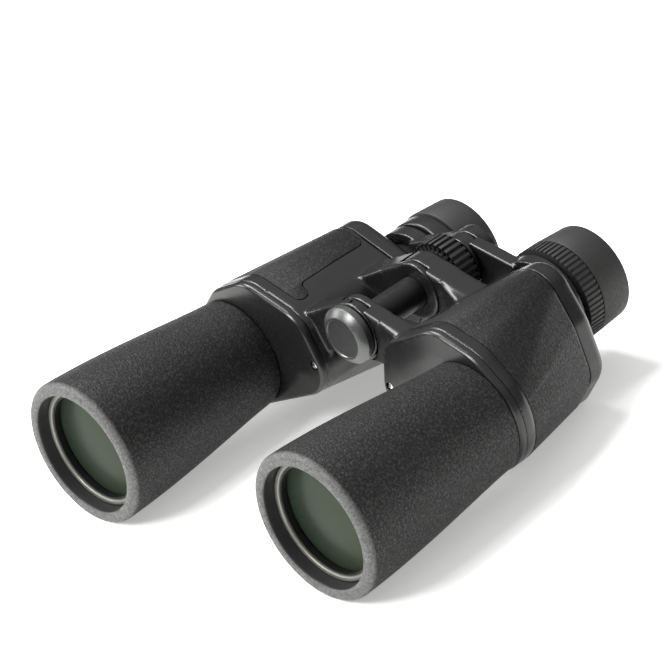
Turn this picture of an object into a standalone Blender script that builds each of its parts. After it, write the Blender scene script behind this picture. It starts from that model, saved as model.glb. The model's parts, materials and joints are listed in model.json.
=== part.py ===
"""Porro-prism binoculars, built as separate named pieces.

Metres, +Z up. The objectives look along -Y and the eyepieces along +Y. The hinge axis runs along Y at x = 0.
The origin is the middle of the object's length and width, on the surface it stands on.
The object stands on z = 0 on its two objective rims and the rear undersides of its prism housings.
A side is -1 for the left half, at -X, and +1 for the right half, at +X.
"""

import math

import bmesh
import bpy

MM = 0.001
LEFT, RIGHT = -1, 1
SIDE_NAME = {LEFT: "left", RIGHT: "right"}
GAP = 0.3

# Driving sizes, in millimetres.
OBJECTIVE_X, OBJECTIVE_Z = 67.4, 30.8
EYEPIECE_X, EYEPIECE_Z = 35.6, 35.0
HINGE_Z = 50.3

RIM_RADIUS = 30.8
RIM_Y = -84.3
TUBE_END_RADIUS = 23.5
TUBE_END_Y = 1.0
LIP_RADIUS = 25.4
RETAINER_Y = (-78.6, -76.3)
LENS_CELL_Y = (-76.0, -62.3)
LENS_RADIUS = 22.9
LENS_FRONT_Y = -74.4
LENS_REAR_Y = -67.4
LENS_SAG = 2.8
NECK_RADIUS = 21.2

# The front cover meets the housing's collar at a seam. Behind the collar the housing narrows to the rear.
COVER_Y = (1.3, 4.3)
COLLAR_FRONT_Y = 4.6
HOUSING_FRONT_Y = 8.0
HOUSING_REAR_Y = 57.8
REAR_COVER_END_Y = 67.2
HOUSING_STATIONS = (HOUSING_FRONT_Y, 25.0, 42.0, HOUSING_REAR_Y)
WALL = 2.0

# The grip panel: its ends, its faces measured from the housing's outline, the depth of its recess, and the
# fine outline points that it covers either side of the outermost one.
PANEL_Y = (9.6, 56.2)
PANEL_LIFTS = (-0.8, 0.0)
PANEL_RECESS = 1.25
PANEL_REACH = (-28, 60)

KNUCKLE_RADIUS = 12.3
KNUCKLE_CLEARANCE = 0.5
FRONT_ARM_Y = (8.0, 16.6)
FRONT_SPLIT_Y = 12.5
REAR_ARM_Y = (42.0, 54.0)
REAR_SPLIT_Y = 45.0
HINGE_TUBE_RADIUS = 6.6
SPINDLE_RADIUS = 3.0

CAP_RADIUS = 13.0
CAP_Y = (1.7, 7.4)
CAP_DISH_RADIUS = 8.0
CAP_HOLLOW = (11.8, 4.4)
CAP_STUD_RADIUS = 3.0
CAP_STUD_END_Y = 14.2
WASHER_Y = (5.4, 7.2)

# The small screws beside the hinge: where they sit in each front cover, and their size.
SCREW_X, SCREW_Z = 22.0, 34.0
SCREW_RADIUS = 1.6
SET_SCREW_Y = 10.2
SET_SCREW_RADIUS = 1.2

WHEEL_Y = (55.6, 64.0)
WHEEL_RADIUS = 15.4
WHEEL_RIBS = 36

BRIDGE_HUB_RADIUS = 10.6
BRIDGE_HUB_Y = (67.0, 79.6)
BRIDGE_SPLIT_Y = 73.2
BRIDGE_ARM_Y = (68.4, 74.8)
BRIDGE_RING_RADIUS = 20.2
BRIDGE_RING_Y = (70.2, 76.6)
BRIDGE_RING_BORE = 17.4

GUIDE_RADIUS = 15.2
GUIDE_Y = (60.6, 77.4)
BARREL_BORE = 15.6
BARREL_RADIUS = 17.0
BARREL_END_Y = 93.5
CUP_FLOOR_Y = 95.2
COLLAR_Y = (78.2, 85.9)
DIOPTER_RADIUS = 21.9
DIOPTER_RIBS = 48
CUP_Y = (86.2, 102.0)
CUP_RADII = (21.3, 20.4)

# Depths are measured from near the front covers; the model's own origin lies halfway along its length.
MIDDLE_Y = (RIM_Y + CUP_Y[1]) / 2

# The outline of the prism housing, seen from the front: the hull of these circles, (x, z, radius) each, on
# the right half. It wraps the objective axis, the top of the folded light path and the eyepiece axis.
FRONT_CIRCLES = (
    (54.0, 48.3, 15.9),
    (64.5, 41.5, 18.5),
    (67.4, 30.8, 23.9),
    (67.4, 30.8, 23.9),
    (32.7, 32.8, 14.4),
    (36.5, 42.0, 15.3),
)
REAR_CIRCLES = (
    (52.3, 49.2, 12.3),
    (54.0, 35.5, 16.2),
    (57.8, 22.5, 14.3),
    (52.0, 12.2, 12.0),
    (34.6, 33.6, 16.0),
    (36.0, 38.0, 15.5),
)

# The folded light path: the objective axis, the lane between the prisms, and the eyepiece axis.
LANES = ((OBJECTIVE_X, OBJECTIVE_Z), (53.7, 48.6), (EYEPIECE_X, EYEPIECE_Z))
LANE_HOLE_RADIUS = 8.0
SHELF_Y = (32.0, 34.0)
PRISM_HALF_LENGTH = 16.4
PRISM_HALF_WIDTH = 7.6
PRISM_END_DEPTH = 2.0
PRISM_DEPTH = 15.0

ROUND = 28
SMALL_ROUND = 16
OUTLINE_POINTS = 40

SMOOTH_ANGLE = math.radians(35)


# Scene and materials


def clear_scene():
    for obj in list(bpy.data.objects):
        bpy.data.objects.remove(obj, do_unlink=True)


def material(name, colour, roughness, metallic=0.0, transmission=0.0):
    made = bpy.data.materials.get(name)
    if made:
        return made
    made = bpy.data.materials.new(name)
    made.use_nodes = True
    shader = made.node_tree.nodes["Principled BSDF"]
    shader.inputs["Base Color"].default_value = (*colour, 1.0)
    shader.inputs["Roughness"].default_value = roughness
    shader.inputs["Metallic"].default_value = metallic
    shader.inputs["Transmission Weight"].default_value = transmission
    return made


def satin_black():
    return material("satin_black", (0.03, 0.03, 0.032), 0.4)


def armour():
    return material("armour", (0.045, 0.045, 0.045), 0.65)


def soft_rubber():
    return material("soft_rubber", (0.035, 0.035, 0.033), 0.7)


def black_metal():
    return material("black_metal", (0.02, 0.02, 0.02), 0.35, metallic=0.6)


def grey_metal():
    return material("grey_metal", (0.32, 0.33, 0.33), 0.35, metallic=1.0)


def bright_steel():
    return material("bright_steel", (0.6, 0.6, 0.58), 0.25, metallic=1.0)


def coated_glass():
    return material("coated_glass", (0.1, 0.16, 0.09), 0.05, transmission=0.6)


def prism_glass():
    return material("prism_glass", (0.8, 0.85, 0.85), 0.05, transmission=0.9)


# Mesh tools. All of them take millimetres and leave an object in metres.


def object_from(name, mesh_tool, look):
    """Closes the bmesh into an object with outward faces and one material."""
    bmesh.ops.remove_doubles(mesh_tool, verts=mesh_tool.verts, dist=1e-4)
    bmesh.ops.translate(mesh_tool, vec=(0, -MIDDLE_Y, 0), verts=mesh_tool.verts)
    bmesh.ops.scale(mesh_tool, vec=(MM, MM, MM), verts=mesh_tool.verts)
    bmesh.ops.recalc_face_normals(mesh_tool, faces=mesh_tool.faces)
    mesh = bpy.data.meshes.new(name)
    mesh_tool.to_mesh(mesh)
    mesh_tool.free()
    mesh.shade_smooth()
    mesh.set_sharp_from_angle(angle=SMOOTH_ANGLE)
    mesh.materials.append(look)
    obj = bpy.data.objects.new(name, mesh)
    bpy.context.scene.collection.objects.link(obj)
    return obj


def place_origin(obj, x, y, z):
    """Moves an object's origin to a point in millimetres and leaves its shape where it is."""
    shift = [value * MM for value in (x, y - MIDDLE_Y, z)]
    for vertex in obj.data.vertices:
        vertex.co -= type(vertex.co)(shift)
    obj.location = shift


def loft(name, loops, look):
    """Skins equal-length loops of (x, y, z) points and caps both ends."""
    tool = bmesh.new()
    rings = [[tool.verts.new(point) for point in loop] for loop in loops]
    for ring, following in zip(rings, rings[1:]):
        for i in range(len(ring)):
            j = (i + 1) % len(ring)
            tool.faces.new((ring[i], ring[j], following[j], following[i]))
    tool.faces.new(rings[0])
    tool.faces.new(rings[-1])
    return object_from(name, tool, look)


def turned(name, profile, x, z, look, segments=ROUND):
    """Spins a closed profile of (radius, y) points about the axis along Y through (x, z)."""
    tool = bmesh.new()
    points = [tool.verts.new((x + radius, y, z)) for radius, y in profile]
    edges = [tool.edges.new((a, b)) for a, b in zip(points, points[1:] + points[:1])]
    bmesh.ops.spin(
        tool,
        geom=points + edges,
        cent=(x, 0, z),
        axis=(0, 1, 0),
        angle=math.tau,
        steps=segments,
        use_merge=True,
    )
    bmesh.ops.remove_doubles(tool, verts=tool.verts, dist=1e-4)
    on_axis = [edge for edge in tool.edges if not edge.link_faces]
    bmesh.ops.delete(tool, geom=on_axis, context="EDGES")
    return object_from(name, tool, look)


def ring_profile(outer, inner, start, end, chamfer=0.0):
    return [
        (inner, start),
        (outer - chamfer, start),
        (outer, start + chamfer),
        (outer, end - chamfer),
        (outer - chamfer, end),
        (inner, end),
    ] if chamfer else [(inner, start), (outer, start), (outer, end), (inner, end)]


def extruded(name, outline, start, end, look):
    """Extrudes an outline of (x, z) points along Y."""
    loops = [[(x, y, z) for x, z in outline] for y in (start, end)]
    return loft(name, loops, look)


def cylinder(name, x, z, radius, start, end, look, segments=ROUND):
    turns = [math.tau * i / segments for i in range(segments)]
    outline = [(x + radius * math.cos(turn), z + radius * math.sin(turn)) for turn in turns]
    return extruded(name, outline, start, end, look)


def helper(obj):
    obj.hide_render = True
    obj.display_type = "WIRE"
    return obj


def boolean(obj, other, operation):
    modifier = obj.modifiers.new(other.name, "BOOLEAN")
    modifier.operation = operation
    modifier.object = helper(other)


def cut(obj, other):
    boolean(obj, other, "DIFFERENCE")


def join(obj, other):
    boolean(obj, other, "UNION")


# Outlines


def hull_outline(circles, inset, count):
    """Evenly spaced points round the hull of circles, each circle made smaller by inset."""
    steps = 720
    hull = []
    for step in range(steps):
        angle = math.tau * step / steps
        across, up = math.cos(angle), math.sin(angle)
        x, z, radius = max(circles, key=lambda c: c[0] * across + c[1] * up + c[2])
        hull.append((x + (radius - inset) * across, z + (radius - inset) * up))
    return evenly_spaced(hull, count)


def evenly_spaced(outline, count):
    """Points at equal steps along a closed outline, starting at its first point."""
    closed = outline + outline[:1]
    reach = [0.0]
    for a, b in zip(closed, closed[1:]):
        reach.append(reach[-1] + math.dist(a, b))
    points = []
    index = 0
    for step in range(count):
        wanted = reach[-1] * step / count
        while reach[index + 1] < wanted:
            index += 1
        share = (wanted - reach[index]) / (reach[index + 1] - reach[index])
        a, b = closed[index], closed[index + 1]
        points.append((a[0] + (b[0] - a[0]) * share, a[1] + (b[1] - a[1]) * share))
    return points


def housing_circles(y):
    """The housing's circles at a station, blended from the front set to the rear set."""
    share = (y - HOUSING_FRONT_Y) / (HOUSING_REAR_Y - HOUSING_FRONT_Y)
    return [
        tuple(front + (rear - front) * share for front, rear in zip(a, b))
        for a, b in zip(FRONT_CIRCLES, REAR_CIRCLES)
    ]


def housing_loop(side, y, inset=0.0, station=None):
    """The housing's outline at y, or that of another station moved to y."""
    circles = housing_circles(y if station is None else station)
    return [(side * x, y, z) for x, z in hull_outline(circles, inset, OUTLINE_POINTS)]


# Pieces of one half


def hinge_arm(name, side, span, own, look):
    """A web from the housing to the hinge, with a knuckle over its own stretch of the axis."""
    web = [(0.0, 57.0), (4.2, 61.6), (31.0, 52.7), (31.0, 36.5), (5.4, 38.6), (0.0, 45.0)]
    arm = extruded(name, [(side * x, z) for x, z in web], *span, look)
    join(arm, cylinder(f"{name}_knuckle", 0, HINGE_Z, KNUCKLE_RADIUS, *own, look))
    past = 5.0
    others = [(span[0] - past, own[0]), (own[1], span[1] + past)]
    clear = KNUCKLE_RADIUS + KNUCKLE_CLEARANCE
    for number, (start, end) in enumerate(others):
        if end - start > past:
            cut(arm, cylinder(f"{name}_room_{number}", 0, HINGE_Z, clear, start, end, look))
    return arm


def prism_housing(side):
    """An open-ended shell that narrows to the rear, with its two hinge arms."""
    name = f"{SIDE_NAME[side]}_prism_housing"
    collar = housing_loop(side, COLLAR_FRONT_Y, station=HOUSING_FRONT_Y)
    shell = loft(name, [collar, *(housing_loop(side, y) for y in HOUSING_STATIONS)], satin_black())
    if side == LEFT:
        own_front, own_rear = (FRONT_ARM_Y[0], FRONT_SPLIT_Y), (REAR_ARM_Y[0], REAR_SPLIT_Y)
    else:
        own_front, own_rear = (FRONT_SPLIT_Y + GAP, FRONT_ARM_Y[1]), (REAR_SPLIT_Y + GAP, REAR_ARM_Y[1])
    join(shell, hinge_arm(f"{name}_front_arm", side, FRONT_ARM_Y, own_front, satin_black()))
    join(shell, hinge_arm(f"{name}_rear_arm", side, REAR_ARM_Y, own_rear, satin_black()))
    mouth = housing_loop(side, COLLAR_FRONT_Y - 1, WALL, HOUSING_FRONT_Y)
    inside = (*HOUSING_STATIONS[:-1], HOUSING_REAR_Y + 1)
    stations = [mouth, *(housing_loop(side, y, WALL) for y in inside)]
    cut(shell, loft(f"{name}_hollow", stations, satin_black()))
    cut(shell, panel_recess(side))
    bore = HINGE_TUBE_RADIUS + GAP
    cut(shell, cylinder(f"{name}_bore", 0, HINGE_Z, bore, 0, REAR_ARM_Y[1] + 5, satin_black()))
    return shell


def front_cover(side):
    name = f"{SIDE_NAME[side]}_front_cover"
    front, back = COVER_Y
    rounding = ((back, 0.0), (front + 1.5, 0.1), (front + 0.6, 0.5), (front, 1.3))
    loops = [housing_loop(side, y, inset, HOUSING_FRONT_Y) for y, inset in rounding]
    plate = loft(name, loops, satin_black())
    hole, past = NECK_RADIUS + GAP, back + 1
    cut(plate, cylinder(f"{name}_hole", side * OBJECTIVE_X, OBJECTIVE_Z, hole, 0, past, satin_black()))
    x, seat = side * SCREW_X, SCREW_RADIUS + GAP
    cut(plate, cylinder(f"{name}_screw_seat", x, SCREW_Z, seat, 0, 3.5, satin_black(), SMALL_ROUND))
    return plate


def cover_screw(side):
    name = f"{SIDE_NAME[side]}_cover_screw"
    head, edge, foot = 1.6, 2.0, 3.2
    radius = SCREW_RADIUS
    profile = [(0.0, head), (radius - 0.4, head), (radius, edge), (radius, foot), (0.0, foot)]
    return turned(name, profile, side * SCREW_X, SCREW_Z, bright_steel(), SMALL_ROUND)


def rear_cover(side):
    name = f"{SIDE_NAME[side]}_rear_cover"
    start = HOUSING_REAR_Y + GAP
    rounding = ((start, 0.0), (62.6, 0.2), (65.2, 1.0), (66.6, 2.3), (REAR_COVER_END_Y, 4.2))
    cap = loft(name, [housing_loop(side, y, inset, HOUSING_REAR_Y) for y, inset in rounding], satin_black())
    hollow = [housing_loop(side, y, WALL + 1.2, HOUSING_REAR_Y) for y in (start - 1, 63.8)]
    cut(cap, loft(f"{name}_hollow", hollow, satin_black()))
    hole, past = GUIDE_RADIUS + GAP, REAR_COVER_END_Y + 1
    cut(cap, cylinder(f"{name}_hole", side * EYEPIECE_X, EYEPIECE_Z, hole, start, past, satin_black()))
    return cap


def grip_panel(side):
    """A thin curved pad round the top and outer side of the housing."""
    return panel_solid(f"{SIDE_NAME[side]}_grip_panel", side, PANEL_LIFTS, GAP, 1)


def panel_recess(side):
    return panel_solid(f"{SIDE_NAME[side]}_panel_recess", side, (-PANEL_RECESS, WALL), 0.0, 0)


def panel_solid(name, side, lifts, shorter, narrower):
    """The pad's shape between two lifts, its ends drawn in by shorter and its sides by narrower points."""
    tool = bmesh.new()
    stations = (PANEL_Y[0] + shorter, *HOUSING_STATIONS[1:-1], PANEL_Y[1] - shorter)
    inner, outer = (
        [[tool.verts.new((side * x, y, z)) for x, z in panel_points(y, lift, narrower)] for y in stations]
        for lift in lifts
    )
    for rows in (inner, outer):
        skin(tool, rows)
    for end in (0, -1):
        skin(tool, (inner[end], outer[end]))
        skin(tool, ([row[end] for row in inner], [row[end] for row in outer]))
    return object_from(name, tool, armour())


def panel_points(y, lift, narrower):
    """The stretch of the housing's outline that the pad covers, from its underside round to its top."""
    fine = 4
    outline = hull_outline(housing_circles(y), -lift, fine * OUTLINE_POINTS)
    first, last = PANEL_REACH[0] + narrower, PANEL_REACH[1] - narrower
    between = range(PANEL_REACH[0] + fine, PANEL_REACH[1] - fine + 1, fine)
    return [outline[i] for i in (first, *between, last)]


def skin(tool, rows):
    """Fills the faces between rows of vertices of equal length."""
    for row, following in zip(rows, rows[1:]):
        for i in range(len(row) - 1):
            tool.faces.new((row[i], row[i + 1], following[i + 1], following[i]))


def tube_radius(y):
    """The objective tube flares gently from its neck to the rim."""
    share = (y - RIM_Y) / (TUBE_END_Y - RIM_Y)
    return TUBE_END_RADIUS + (RIM_RADIUS - TUBE_END_RADIUS) * (1 - share ** 1.7) ** 1.3


def objective_tube(side):
    outer = [(tube_radius(y), y) for y in (-80.0, -66.0, -50.0, -34.0, -16.0, TUBE_END_Y)]
    rim = [(LIP_RADIUS, -82.9), (27.0, RIM_Y), (29.0, RIM_Y), (30.2, -83.7), (RIM_RADIUS, -82.6)]
    neck = [(NECK_RADIUS, TUBE_END_Y), (NECK_RADIUS, HOUSING_FRONT_Y - GAP)]
    inside = [(19.6, HOUSING_FRONT_Y - GAP), (19.6, 0.0), (23.0, -62.0), (LIP_RADIUS, -62.0)]
    name = f"{SIDE_NAME[side]}_objective_tube"
    return turned(name, rim + outer + neck + inside, side * OBJECTIVE_X, OBJECTIVE_Z, armour())


def objective_optics(side):
    name = SIDE_NAME[side]
    x = side * OBJECTIVE_X
    fit = LIP_RADIUS - GAP
    cell = ring_profile(fit, 23.2, *LENS_CELL_Y)
    dome = [(r, LENS_FRONT_Y + LENS_SAG * (r / LENS_RADIUS) ** 2) for r in (0.0, 8.0, 16.0, LENS_RADIUS)]
    seat = dome + [(LENS_RADIUS, LENS_REAR_Y), (0.0, LENS_REAR_Y)]
    retainer = ring_profile(fit, 22.0, *RETAINER_Y, 0.5)
    turned(f"{name}_lens_cell", cell, x, OBJECTIVE_Z, black_metal())
    turned(f"{name}_objective_lens", seat, x, OBJECTIVE_Z, coated_glass())
    turned(f"{name}_retaining_ring", retainer, x, OBJECTIVE_Z, grey_metal())


def prism(name, side, start, end, base_y, towards):
    """A right-angle prism whose long face spans two lanes, with its apex towards -Y or +Y."""
    middle = [(a + b) / 2 for a, b in zip(start, end)]
    reach = math.dist(start, end)
    along = [(b - a) / reach for a, b in zip(start, end)]
    across = (-along[1], along[0])
    half, depth = PRISM_HALF_LENGTH, PRISM_DEPTH
    profile = [(-half, 0), (half, 0), (half, PRISM_END_DEPTH), (half - depth + PRISM_END_DEPTH, depth)]
    profile += [(-half + depth - PRISM_END_DEPTH, depth), (-half, PRISM_END_DEPTH)]
    loops = []
    for width in (-PRISM_HALF_WIDTH, PRISM_HALF_WIDTH):
        loop = []
        for reach_along, deep in profile:
            x = middle[0] + along[0] * reach_along + across[0] * width
            z = middle[1] + along[1] * reach_along + across[1] * width
            loop.append((side * x, base_y + towards * deep, z))
        loops.append(loop)
    return loft(name, loops, prism_glass())


def prism_cluster(side):
    name = SIDE_NAME[side]
    shelf = loft(
        f"{name}_prism_shelf",
        [housing_loop(side, y, WALL + 3 * GAP, SHELF_Y[1]) for y in SHELF_Y],
        black_metal(),
    )
    before, past = SHELF_Y[0] - 1, SHELF_Y[1] + 1
    for number, (x, z) in enumerate(LANES):
        lane = f"{name}_shelf_hole_{number}"
        cut(shelf, cylinder(lane, side * x, z, LANE_HOLE_RADIUS, before, past, black_metal()))
    objective_lane, middle_lane, eyepiece_lane = LANES
    prism(f"{name}_front_prism", side, middle_lane, eyepiece_lane, SHELF_Y[0] - GAP, -1)
    prism(f"{name}_rear_prism", side, objective_lane, middle_lane, SHELF_Y[1] + GAP, 1)


def eyepiece_guide(side):
    name = f"{SIDE_NAME[side]}_eyepiece_guide"
    profile = ring_profile(GUIDE_RADIUS, 13.6, *GUIDE_Y)
    return turned(name, profile, side * EYEPIECE_X, EYEPIECE_Z, black_metal())


# Ocular assembly


def bridge_arm(side):
    """An arm of the ocular bridge: a knuckle on the hinge axis, a web and a ring round the eyepiece."""
    name = f"{SIDE_NAME[side]}_bridge_arm"
    look = satin_black()
    web = [(0.0, 55.5), (3.6, 60.9), (28.0, 53.6), (30.0, 42.0), (22.0, 38.0), (4.6, 39.9), (0.0, 45.0)]
    arm = extruded(name, [(side * x, z) for x, z in web], *BRIDGE_ARM_Y, look)
    if side == LEFT:
        start, end = BRIDGE_HUB_Y[0], BRIDGE_SPLIT_Y
        room = (end, end + 20)
    else:
        start, end = BRIDGE_SPLIT_Y + GAP, BRIDGE_HUB_Y[1]
        room = (start - 20, start)
    clear, bore = BRIDGE_HUB_RADIUS + KNUCKLE_CLEARANCE, SPINDLE_RADIUS + GAP
    x = side * EYEPIECE_X
    join(arm, cylinder(f"{name}_knuckle", 0, HINGE_Z, BRIDGE_HUB_RADIUS, start, end, look))
    join(arm, cylinder(f"{name}_ring", x, EYEPIECE_Z, BRIDGE_RING_RADIUS, *BRIDGE_RING_Y, look))
    cut(arm, cylinder(f"{name}_room", 0, HINGE_Z, clear, *room, look))
    cut(arm, cylinder(f"{name}_bore", 0, HINGE_Z, bore, start - 5, end + 5, look, SMALL_ROUND))
    cut(arm, cylinder(f"{name}_ring_bore", x, EYEPIECE_Z, BRIDGE_RING_BORE, 60, 85, look))
    return arm


def eyepiece_barrel(side):
    name = f"{SIDE_NAME[side]}_eyepiece_barrel"
    profile = [
        (BARREL_BORE, BRIDGE_RING_Y[0] + 1.0),
        (BARREL_RADIUS, BRIDGE_RING_Y[0] + 1.0),
        (BARREL_RADIUS, BARREL_END_Y),
        (12.0, BARREL_END_Y),
        (12.0, BARREL_END_Y - 2.2),
        (BARREL_BORE, BARREL_END_Y - 2.2),
    ]
    return turned(name, profile, side * EYEPIECE_X, EYEPIECE_Z, black_metal())


def eyepiece_optics(side):
    name = SIDE_NAME[side]
    x = side * EYEPIECE_X
    fit = BARREL_BORE - GAP
    field = [(0.0, 79.4), (9.0, 79.9), (fit, 81.2), (fit, 83.2), (9.0, 83.9), (0.0, 84.2)]
    eye = [(0.0, 85.6), (fit, 86.2), (fit, 90.4), (11.5, 90.9), (6.0, 91.9), (0.0, 92.2)]
    turned(f"{name}_field_lens", field, x, EYEPIECE_Z, coated_glass())
    turned(f"{name}_eye_lens", eye, x, EYEPIECE_Z, coated_glass())


def eyecup(side):
    """A rubber cup with a hollow towards the eye."""
    name = f"{SIDE_NAME[side]}_eyecup"
    base, lip = CUP_RADII
    start, end = CUP_Y
    bore = BARREL_RADIUS + GAP
    profile = [
        (bore, start),
        (base - 0.6, start),
        (base, start + 0.6),
        (lip, end - 0.8),
        (lip - 0.8, end),
        (lip - 2.2, end),
        (lip - 2.6, end - 0.6),
        (16.6, CUP_FLOOR_Y),
        (12.5, CUP_FLOOR_Y),
        (12.5, BARREL_END_Y + GAP),
        (bore, BARREL_END_Y + GAP),
    ]
    return turned(name, profile, side * EYEPIECE_X, EYEPIECE_Z, soft_rubber())


def ribbed_ring(name, radius, bore, span, ribs, rib_height, x, z, look):
    """A ring whose outside carries square ribs along its axis."""
    outline = []
    for rib in range(ribs):
        for place, lift in ((0.0, 0.0), (0.25, rib_height), (0.7, rib_height), (0.95, 0.0)):
            angle = math.tau * (rib + place) / ribs
            reach = radius - rib_height + lift
            outline.append((x + reach * math.cos(angle), z + reach * math.sin(angle)))
    ring = extruded(name, outline, *span, look)
    cut(ring, cylinder(f"{name}_bore", x, z, bore, span[0] - 1, span[1] + 1, look))
    return ring


def diopter_ring():
    ring = ribbed_ring(
        "diopter_ring",
        DIOPTER_RADIUS,
        BARREL_RADIUS + GAP,
        COLLAR_Y,
        DIOPTER_RIBS,
        0.6,
        EYEPIECE_X,
        EYEPIECE_Z,
        soft_rubber(),
    )
    place_origin(ring, EYEPIECE_X, COLLAR_Y[0], EYEPIECE_Z)


def left_collar():
    """The plain counterpart of the diopter ring on the left eyepiece."""
    profile = ring_profile(20.6, BARREL_RADIUS + GAP, *COLLAR_Y, chamfer=0.6)
    return turned("left_eyepiece_collar", profile, LEFT * EYEPIECE_X, EYEPIECE_Z, satin_black())


# Centre


def hinge_cap():
    """The screw cap over the front end of the hinge: a dish in its face, a hollow and a stud behind."""
    start, end = CAP_Y
    hollow_radius, hollow_y = CAP_HOLLOW
    profile = [
        (0.0, start + 0.5),
        (CAP_DISH_RADIUS, start + 0.5),
        (CAP_DISH_RADIUS + 0.3, start),
        (CAP_DISH_RADIUS + 0.9, start),
        (CAP_RADIUS, start + 2.6),
        (CAP_RADIUS, end),
        (hollow_radius, end),
        (hollow_radius, hollow_y),
        (CAP_STUD_RADIUS, hollow_y),
        (CAP_STUD_RADIUS, CAP_STUD_END_Y - 0.8),
        (CAP_STUD_RADIUS - 0.8, CAP_STUD_END_Y),
        (0.0, CAP_STUD_END_Y),
    ]
    cap = turned("hinge_cap", profile, 0, HINGE_Z, grey_metal())
    place_origin(cap, 0, 0, HINGE_Z)


def cap_washer():
    """A captive washer in the hollow of the cap."""
    profile = ring_profile(CAP_HOLLOW[0] - GAP, CAP_STUD_RADIUS + GAP, *WASHER_Y)
    washer = turned("cap_washer", profile, 0, HINGE_Z, soft_rubber())
    place_origin(washer, 0, 0, HINGE_Z)


def hinge_tube():
    profile = ring_profile(HINGE_TUBE_RADIUS, SPINDLE_RADIUS + GAP, 8.3, 55.0)
    return turned("hinge_tube", profile, 0, HINGE_Z, black_metal())


def focus_spindle():
    profile = [(0.0, 26.0), (SPINDLE_RADIUS, 26.0), (SPINDLE_RADIUS, 81.0), (0.0, 81.0)]
    return turned("focus_spindle", profile, 0, HINGE_Z, bright_steel(), SMALL_ROUND)


def bridge_nut():
    start = BRIDGE_HUB_Y[1] + GAP
    profile = ring_profile(7.0, SPINDLE_RADIUS + GAP, start, start + 1.6, 0.4)
    return turned("bridge_nut", profile, 0, HINGE_Z, black_metal(), SMALL_ROUND)


def focus_wheel():
    wheel = ribbed_ring(
        "focus_wheel",
        WHEEL_RADIUS,
        SPINDLE_RADIUS + GAP,
        WHEEL_Y,
        WHEEL_RIBS,
        1.0,
        0,
        HINGE_Z,
        soft_rubber(),
    )
    place_origin(wheel, 0, 0, HINGE_Z)


def upright_pin(name, radius, bottom, top, look):
    """A small upright cylinder over the hinge, where the set screw goes."""
    tool = bmesh.new()
    size = {"radius1": radius, "radius2": radius, "depth": top - bottom}
    bmesh.ops.create_cone(tool, cap_ends=True, segments=SMALL_ROUND, **size)
    bmesh.ops.translate(tool, verts=tool.verts, vec=(0, SET_SCREW_Y, (bottom + top) / 2))
    return object_from(name, tool, look)


def set_screw(housing):
    """A headless screw in the top of the left front knuckle."""
    crown = HINGE_Z + KNUCKLE_RADIUS
    hole = upright_pin("set_screw_hole", SET_SCREW_RADIUS + GAP, crown - 3.0, crown + 5.0, satin_black())
    cut(housing, hole)
    upright_pin("hinge_set_screw", SET_SCREW_RADIUS, crown - 2.7, crown + 0.3, bright_steel())


def half(side):
    housing = prism_housing(side)
    if side == LEFT:
        set_screw(housing)
    front_cover(side)
    cover_screw(side)
    rear_cover(side)
    grip_panel(side)
    objective_tube(side)
    objective_optics(side)
    prism_cluster(side)
    eyepiece_guide(side)
    bridge_arm(side)
    eyepiece_barrel(side)
    eyepiece_optics(side)
    eyecup(side)


def main():
    clear_scene()
    for side in (LEFT, RIGHT):
        half(side)
    left_collar()
    diopter_ring()
    hinge_cap()
    cap_washer()
    hinge_tube()
    focus_wheel()
    focus_spindle()
    bridge_nut()


main()
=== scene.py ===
"""Finished look of the Porro-prism binoculars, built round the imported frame. Metres, +Z up."""

import json
import math

import bpy
from mathutils import Matrix, Vector


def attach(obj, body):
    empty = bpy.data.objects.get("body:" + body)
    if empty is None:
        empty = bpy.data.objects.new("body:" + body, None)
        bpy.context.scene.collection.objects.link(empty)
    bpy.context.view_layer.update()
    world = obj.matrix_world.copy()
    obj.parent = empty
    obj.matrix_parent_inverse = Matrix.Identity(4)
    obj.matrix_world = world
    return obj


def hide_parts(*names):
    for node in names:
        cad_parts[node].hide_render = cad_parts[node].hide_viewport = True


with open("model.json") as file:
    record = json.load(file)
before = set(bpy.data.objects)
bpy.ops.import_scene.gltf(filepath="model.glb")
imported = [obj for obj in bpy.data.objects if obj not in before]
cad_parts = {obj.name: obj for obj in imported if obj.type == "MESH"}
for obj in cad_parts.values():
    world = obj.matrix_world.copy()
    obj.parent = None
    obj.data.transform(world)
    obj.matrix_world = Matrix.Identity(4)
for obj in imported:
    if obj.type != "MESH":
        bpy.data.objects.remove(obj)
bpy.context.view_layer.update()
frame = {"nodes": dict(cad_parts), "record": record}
NODES = frame["nodes"]

MM = 0.001
LEFT, RIGHT = -1, 1
SIDE = {LEFT: "left", RIGHT: "right"}
# Depths are given from just in front of the front covers, 8.85 mm ahead of the frame's origin.
MIDDLE_Y = 8.85
OBJECTIVE = (67.4, 30.8)
EYEPIECE = (35.6, 35.0)
HINGE = (0.0, 50.3)

# The prism housing is a skin stretched over discs, (x, z, radius) each: in front, and at its rear end.
FRONT_DISCS = (
    (54, 48.3, 15.9),
    (64.5, 41.5, 18.5),
    (67.4, 30.8, 23.9),
    (32.7, 32.8, 14.4),
    (36.5, 42, 15.3),
)
REAR_DISCS = (
    (52.3, 49.2, 12.3),
    (54, 35.5, 16.2),
    (57.8, 22.5, 14.3),
    (52, 12.2, 12),
    (34.6, 33.6, 16),
    (36, 38, 15.5),
)
HOUSING_FRONT, HOUSING_REAR = 4.6, 57.8
WALL = 2.0

# Knuckles of the housings' arms and of the ocular bridge, and the room each leaves for the other half's.
KNUCKLE_RADIUS, KNUCKLE_ROOM = 12.3, 12.8
OCULAR_KNUCKLE_RADIUS, OCULAR_ROOM = 10.6, 11.1
SPINDLE_BORE = 3.3
TUBE_BORE = 6.9

# The covers' screws, and the eyepieces' bore.
COVER_SCREW = (22.0, 34.0)
EYEPIECE_BORE = 17.3

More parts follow.
